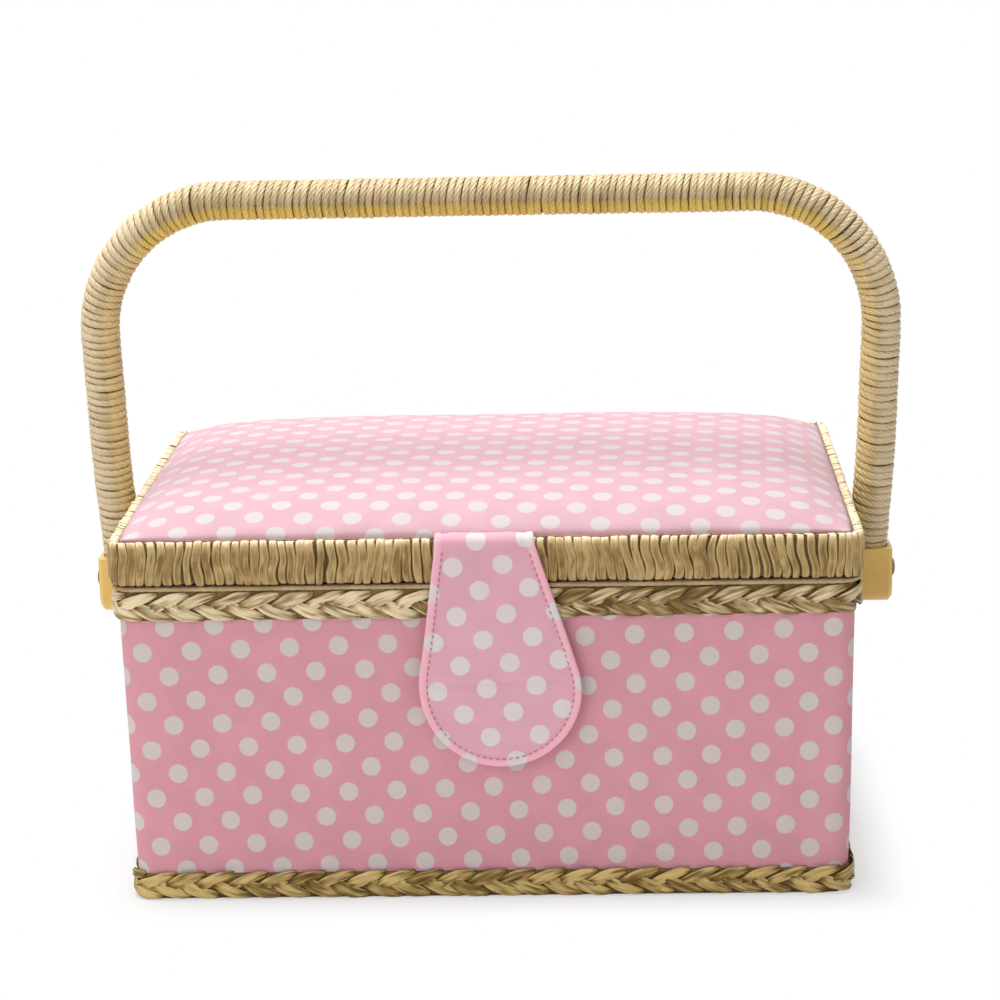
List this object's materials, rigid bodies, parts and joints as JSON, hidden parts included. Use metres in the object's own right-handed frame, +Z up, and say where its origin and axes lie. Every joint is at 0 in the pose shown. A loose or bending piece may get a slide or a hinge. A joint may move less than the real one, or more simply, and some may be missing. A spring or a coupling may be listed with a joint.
{
  "type": "sewing box",
  "caption": "Cloth-covered sewing box with a padded hinged lid, wound lid rim, plaited trims, snap flap, lift-out tray and swinging carrying handle.",
  "frame": {"origin": "centre of the flat underside, on the surface that the box stands on", "axes": "+Z up; +X to the right along the box's width, seen from the front; the front with the flap faces -Y"},
  "size_m": [0.3544, 0.2334, 0.285],
  "materials": {
    "dotted_cloth": "pink cotton with white dots",
    "satin": "plain pink satin",
    "foam": "foam, held as fabric",
    "board": "plain board",
    "twine": "twisted paper twine",
    "plait": "plaited paper straw",
    "cane": "plain",
    "amber_plastic": "satin",
    "nickel": "nickel plated",
    "brassed": "brass plated",
    "tray_plastic": "moulded, gloss"
  },
  "bodies": {
    "base": {"base_cover": "dotted_cloth", "base_padding": "foam", "base_walls": "board", "base_lining": "satin", "floor_board": "board", "under_cloth": "satin", "floor_pad": "satin", "upper_braid": "plait", "lower_braid": "plait", "rim_cord": "twine", "snap_base": "nickel", "panel_front": "satin", "panel_back": "satin", "panel_left": "satin", "panel_right": "satin", "hinge_base_left": "brassed", "hinge_base_right": "brassed", "hinge_pin_left": "brassed", "hinge_pin_right": "brassed", "hinge_screws_base": "brassed", "rivet_left": "nickel", "rivet_right": "nickel", "washer_left": "nickel", "washer_right": "nickel"},
    "lid": {"hinge_lid_left": "brassed", "hinge_lid_right": "brassed", "hinge_screws_lid": "brassed", "lid_frame": "board", "lid_wrap": "twine", "lid_board": "board", "lid_foam": "foam", "lid_cover": "dotted_cloth", "lid_lining": "satin", "flap_root": "dotted_cloth"},
    "flap": {"flap_face": "dotted_cloth", "flap_core": "board", "flap_back": "satin", "snap_flap": "nickel"},
    "handle": {"handle_core": "cane", "handle_wrap": "twine", "ferrule_left": "amber_plastic", "ferrule_right": "amber_plastic"},
    "tray": {"tray": "tray_plastic"}
  },
  "joints": [
    {"name": "lid_open", "type": "hinge", "parent": "base", "child": "lid", "pos_m": [0, 0.1156, 0.1346], "axis": [-1, 0, 0], "range_deg": [0, 100]},
    {"name": "flap_lift", "type": "hinge", "parent": "lid", "child": "flap", "pos_m": [0, -0.1147, 0.1513], "axis": [-1, 0, 0], "range_deg": [0, 120]},
    {"name": "handle_swing", "type": "hinge", "parent": "base", "child": "handle", "pos_m": [0, 0, 0.1108], "axis": [-1, 0, 0], "range_deg": [0, 120]},
    {"name": "tray_lift", "type": "slide", "parent": "base", "child": "tray", "axis": [0, 0, 1], "range_m": [0, 0.04]}
  ],
  "couplings": [
    {"joint": "handle_swing", "follows": "lid_open", "ratio": 1.2},
    {"joint": "tray_lift", "follows": "lid_open", "m_per_rad": 0.0229}
  ]
}
